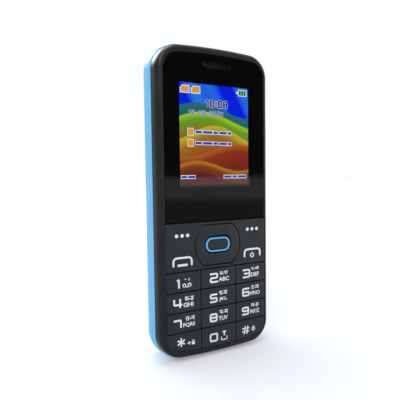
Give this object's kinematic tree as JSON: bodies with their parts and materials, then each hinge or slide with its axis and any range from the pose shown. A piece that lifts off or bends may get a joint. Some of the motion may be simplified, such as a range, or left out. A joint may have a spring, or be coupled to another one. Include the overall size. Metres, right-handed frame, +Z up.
{
  "type": "big button phone",
  "caption": "Upright bar phone with large flush keys, a colour display, a rocking navigation pad and a light blue waist band.",
  "frame": {"origin": "middle of the phone's footprint, on the surface that its lower end stands on", "axes": "+Z up towards the earpiece end, -Y out of the display and keys, +X to the right of someone who looks at the display"},
  "size_m": [0.0474, 0.0152, 0.113],
  "materials": {
    "satin_black": "moulded black plastic with a satin sheen and a fine grain",
    "window_gloss": "clear acrylic pane over a black printed border, glossy",
    "key_black": "dark grey painted keys under a thin satin lacquer",
    "trim_blue": "light blue plastic, semi-gloss",
    "ring_blue": "light blue printed ring, semi-gloss",
    "display_glass": null,
    "mesh_grey": "fine dark metal mesh",
    "silicone": "translucent white silicone rubber",
    "board_green": "green solder mask over a circuit board",
    "nickel_metal": "thin bright nickel silver sheet",
    "spring_steel": "plain steel",
    "antenna_gold": "gold plated copper",
    "chassis_plastic": "matt black moulded plastic",
    "battery_label": "plain pale grey wrapped label",
    "clear_lens": "clear moulded lens",
    "led_yellow": "yellow phosphor lamp"
  },
  "bodies": {
    "phone_body": {"front_housing": "satin_black", "display_window": "window_gloss", "earpiece_mesh": "mesh_grey", "earpiece_speaker": "nickel_metal", "lcd_frame": "nickel_metal", "lcd_panel": "display_glass", "keypad_mat": "silicone", "dome_sheet": "spring_steel", "main_board": "board_green", "cpu_shield": "nickel_metal", "rf_shield": "nickel_metal", "rear_housing": "chassis_plastic", "trim_ring": "trim_blue", "battery": "battery_label", "battery_contacts": "chassis_plastic", "sim_socket_1": "nickel_metal", "sim_socket_2": "nickel_metal", "memory_card_socket": "nickel_metal", "audio_jack": "chassis_plastic", "usb_socket": "nickel_metal", "torch_lens": "clear_lens", "torch_led": "led_yellow", "loudspeaker": "chassis_plastic", "vibration_motor": "nickel_metal", "antenna": "antenna_gold", "microphone": "nickel_metal", "housing_screw_1": "spring_steel", "housing_screw_2": "spring_steel", "housing_screw_3": "spring_steel", "housing_screw_4": "spring_steel"},
    "key_1": {"key_1": "key_black"},
    "key_2": {"key_2": "key_black"},
    "key_3": {"key_3": "key_black"},
    "key_4": {"key_4": "key_black"},
    "key_5": {"key_5": "key_black"},
    "key_6": {"key_6": "key_black"},
    "key_7": {"key_7": "key_black"},
    "key_8": {"key_8": "key_black"},
    "key_9": {"key_9": "key_black"},
    "key_star": {"key_star": "key_black"},
    "key_0": {"key_0": "key_black"},
    "key_hash": {"key_hash": "key_black"},
    "ok_key": {"ok_key": "key_black", "ok_key_ring": "ring_blue"},
    "navigation_seat": {"navigation_seat": "silicone"},
    "navigation_key": {"navigation_key": "key_black"},
    "function_web": {"function_web": "silicone"},
    "function_plate": {"function_plate": "key_black"},
    "battery_cover": {"battery_cover": "satin_black"},
    "motor_weight": {"motor_weight": "spring_steel"}
  },
  "joints": [
    {"name": "key_1_press", "type": "slide", "parent": "phone_body", "child": "key_1", "axis": [0, 1, 0], "range_m": [0, 0.00025], "stiffness_N_per_m": 1500},
    {"name": "key_2_press", "type": "slide", "parent": "phone_body", "child": "key_2", "axis": [0, 1, 0], "range_m": [0, 0.00025], "stiffness_N_per_m": 1500},
    {"name": "key_3_press", "type": "slide", "parent": "phone_body", "child": "key_3", "axis": [0, 1, 0], "range_m": [0, 0.00025], "stiffness_N_per_m": 1500},
    {"name": "key_4_press", "type": "slide", "parent": "phone_body", "child": "key_4", "axis": [0, 1, 0], "range_m": [0, 0.00025], "stiffness_N_per_m": 1500},
    {"name": "key_5_press", "type": "slide", "parent": "phone_body", "child": "key_5", "axis": [0, 1, 0], "range_m": [0, 0.00025], "stiffness_N_per_m": 1500},
    {"name": "key_6_press", "type": "slide", "parent": "phone_body", "child": "key_6", "axis": [0, 1, 0], "range_m": [0, 0.00025], "stiffness_N_per_m": 1500},
    {"name": "key_7_press", "type": "slide", "parent": "phone_body", "child": "key_7", "axis": [0, 1, 0], "range_m": [0, 0.00025], "stiffness_N_per_m": 1500},
    {"name": "key_8_press", "type": "slide", "parent": "phone_body", "child": "key_8", "axis": [0, 1, 0], "range_m": [0, 0.00025], "stiffness_N_per_m": 1500},
    {"name": "key_9_press", "type": "slide", "parent": "phone_body", "child": "key_9", "axis": [0, 1, 0], "range_m": [0, 0.00025], "stiffness_N_per_m": 1500},
    {"name": "key_star_press", "type": "slide", "parent": "phone_body", "child": "key_star", "axis": [0, 1, 0], "range_m": [0, 0.00025], "stiffness_N_per_m": 1500},
    {"name": "key_0_press", "type": "slide", "parent": "phone_body", "child": "key_0", "axis": [0, 1, 0], "range_m": [0, 0.00025], "stiffness_N_per_m": 1500},
    {"name": "key_hash_press", "type": "slide", "parent": "phone_body", "child": "key_hash", "axis": [0, 1, 0], "range_m": [0, 0.00025], "stiffness_N_per_m": 1500},
    {"name": "ok_key_press", "type": "slide", "parent": "phone_body", "child": "ok_key", "axis": [0, 1, 0], "range_m": [0, 0.00025], "stiffness_N_per_m": 1500},
    {"name": "navigation_up_down", "type": "hinge", "parent": "phone_body", "child": "navigation_seat", "pos_m": [0, -0.00632, 0.04115], "axis": [1, 0, 0], "range_deg": [-1.5, 1.5], "stiffness_Nm_per_rad": 0.15},
    {"name": "navigation_left_right", "type": "hinge", "parent": "navigation_seat", "child": "navigation_key", "pos_m": [0, -0.00632, 0.04115], "axis": [0, 0, 1], "range_deg": [-1.2, 1.2], "stiffness_Nm_per_rad": 0.15},
    {"name": "function_plate_up_down", "type": "hinge", "parent": "phone_body", "child": "function_web", "pos_m": [0, -0.00613, 0.04115], "axis": [1, 0, 0], "range_deg": [-0.9, 0.9], "stiffness_Nm_per_rad": 0.3},
    {"name": "function_plate_left_right", "type": "hinge", "parent": "function_web", "child": "function_plate", "pos_m": [0, -0.00613, 0.04115], "axis": [0, 0, 1], "range_deg": [-0.6, 0.6], "stiffness_Nm_per_rad": 0.5},
    {"name": "battery_cover_removal", "type": "slide", "parent": "phone_body", "child": "battery_cover", "axis": [0, 1, 0], "range_m": [0, 0.02]},
    {"name": "motor_weight_spin", "type": "hinge", "parent": "phone_body", "child": "motor_weight", "pos_m": [0.0067, 0.00068, 0.091], "axis": [1, 0, 0], "continuous": true}
  ]
}
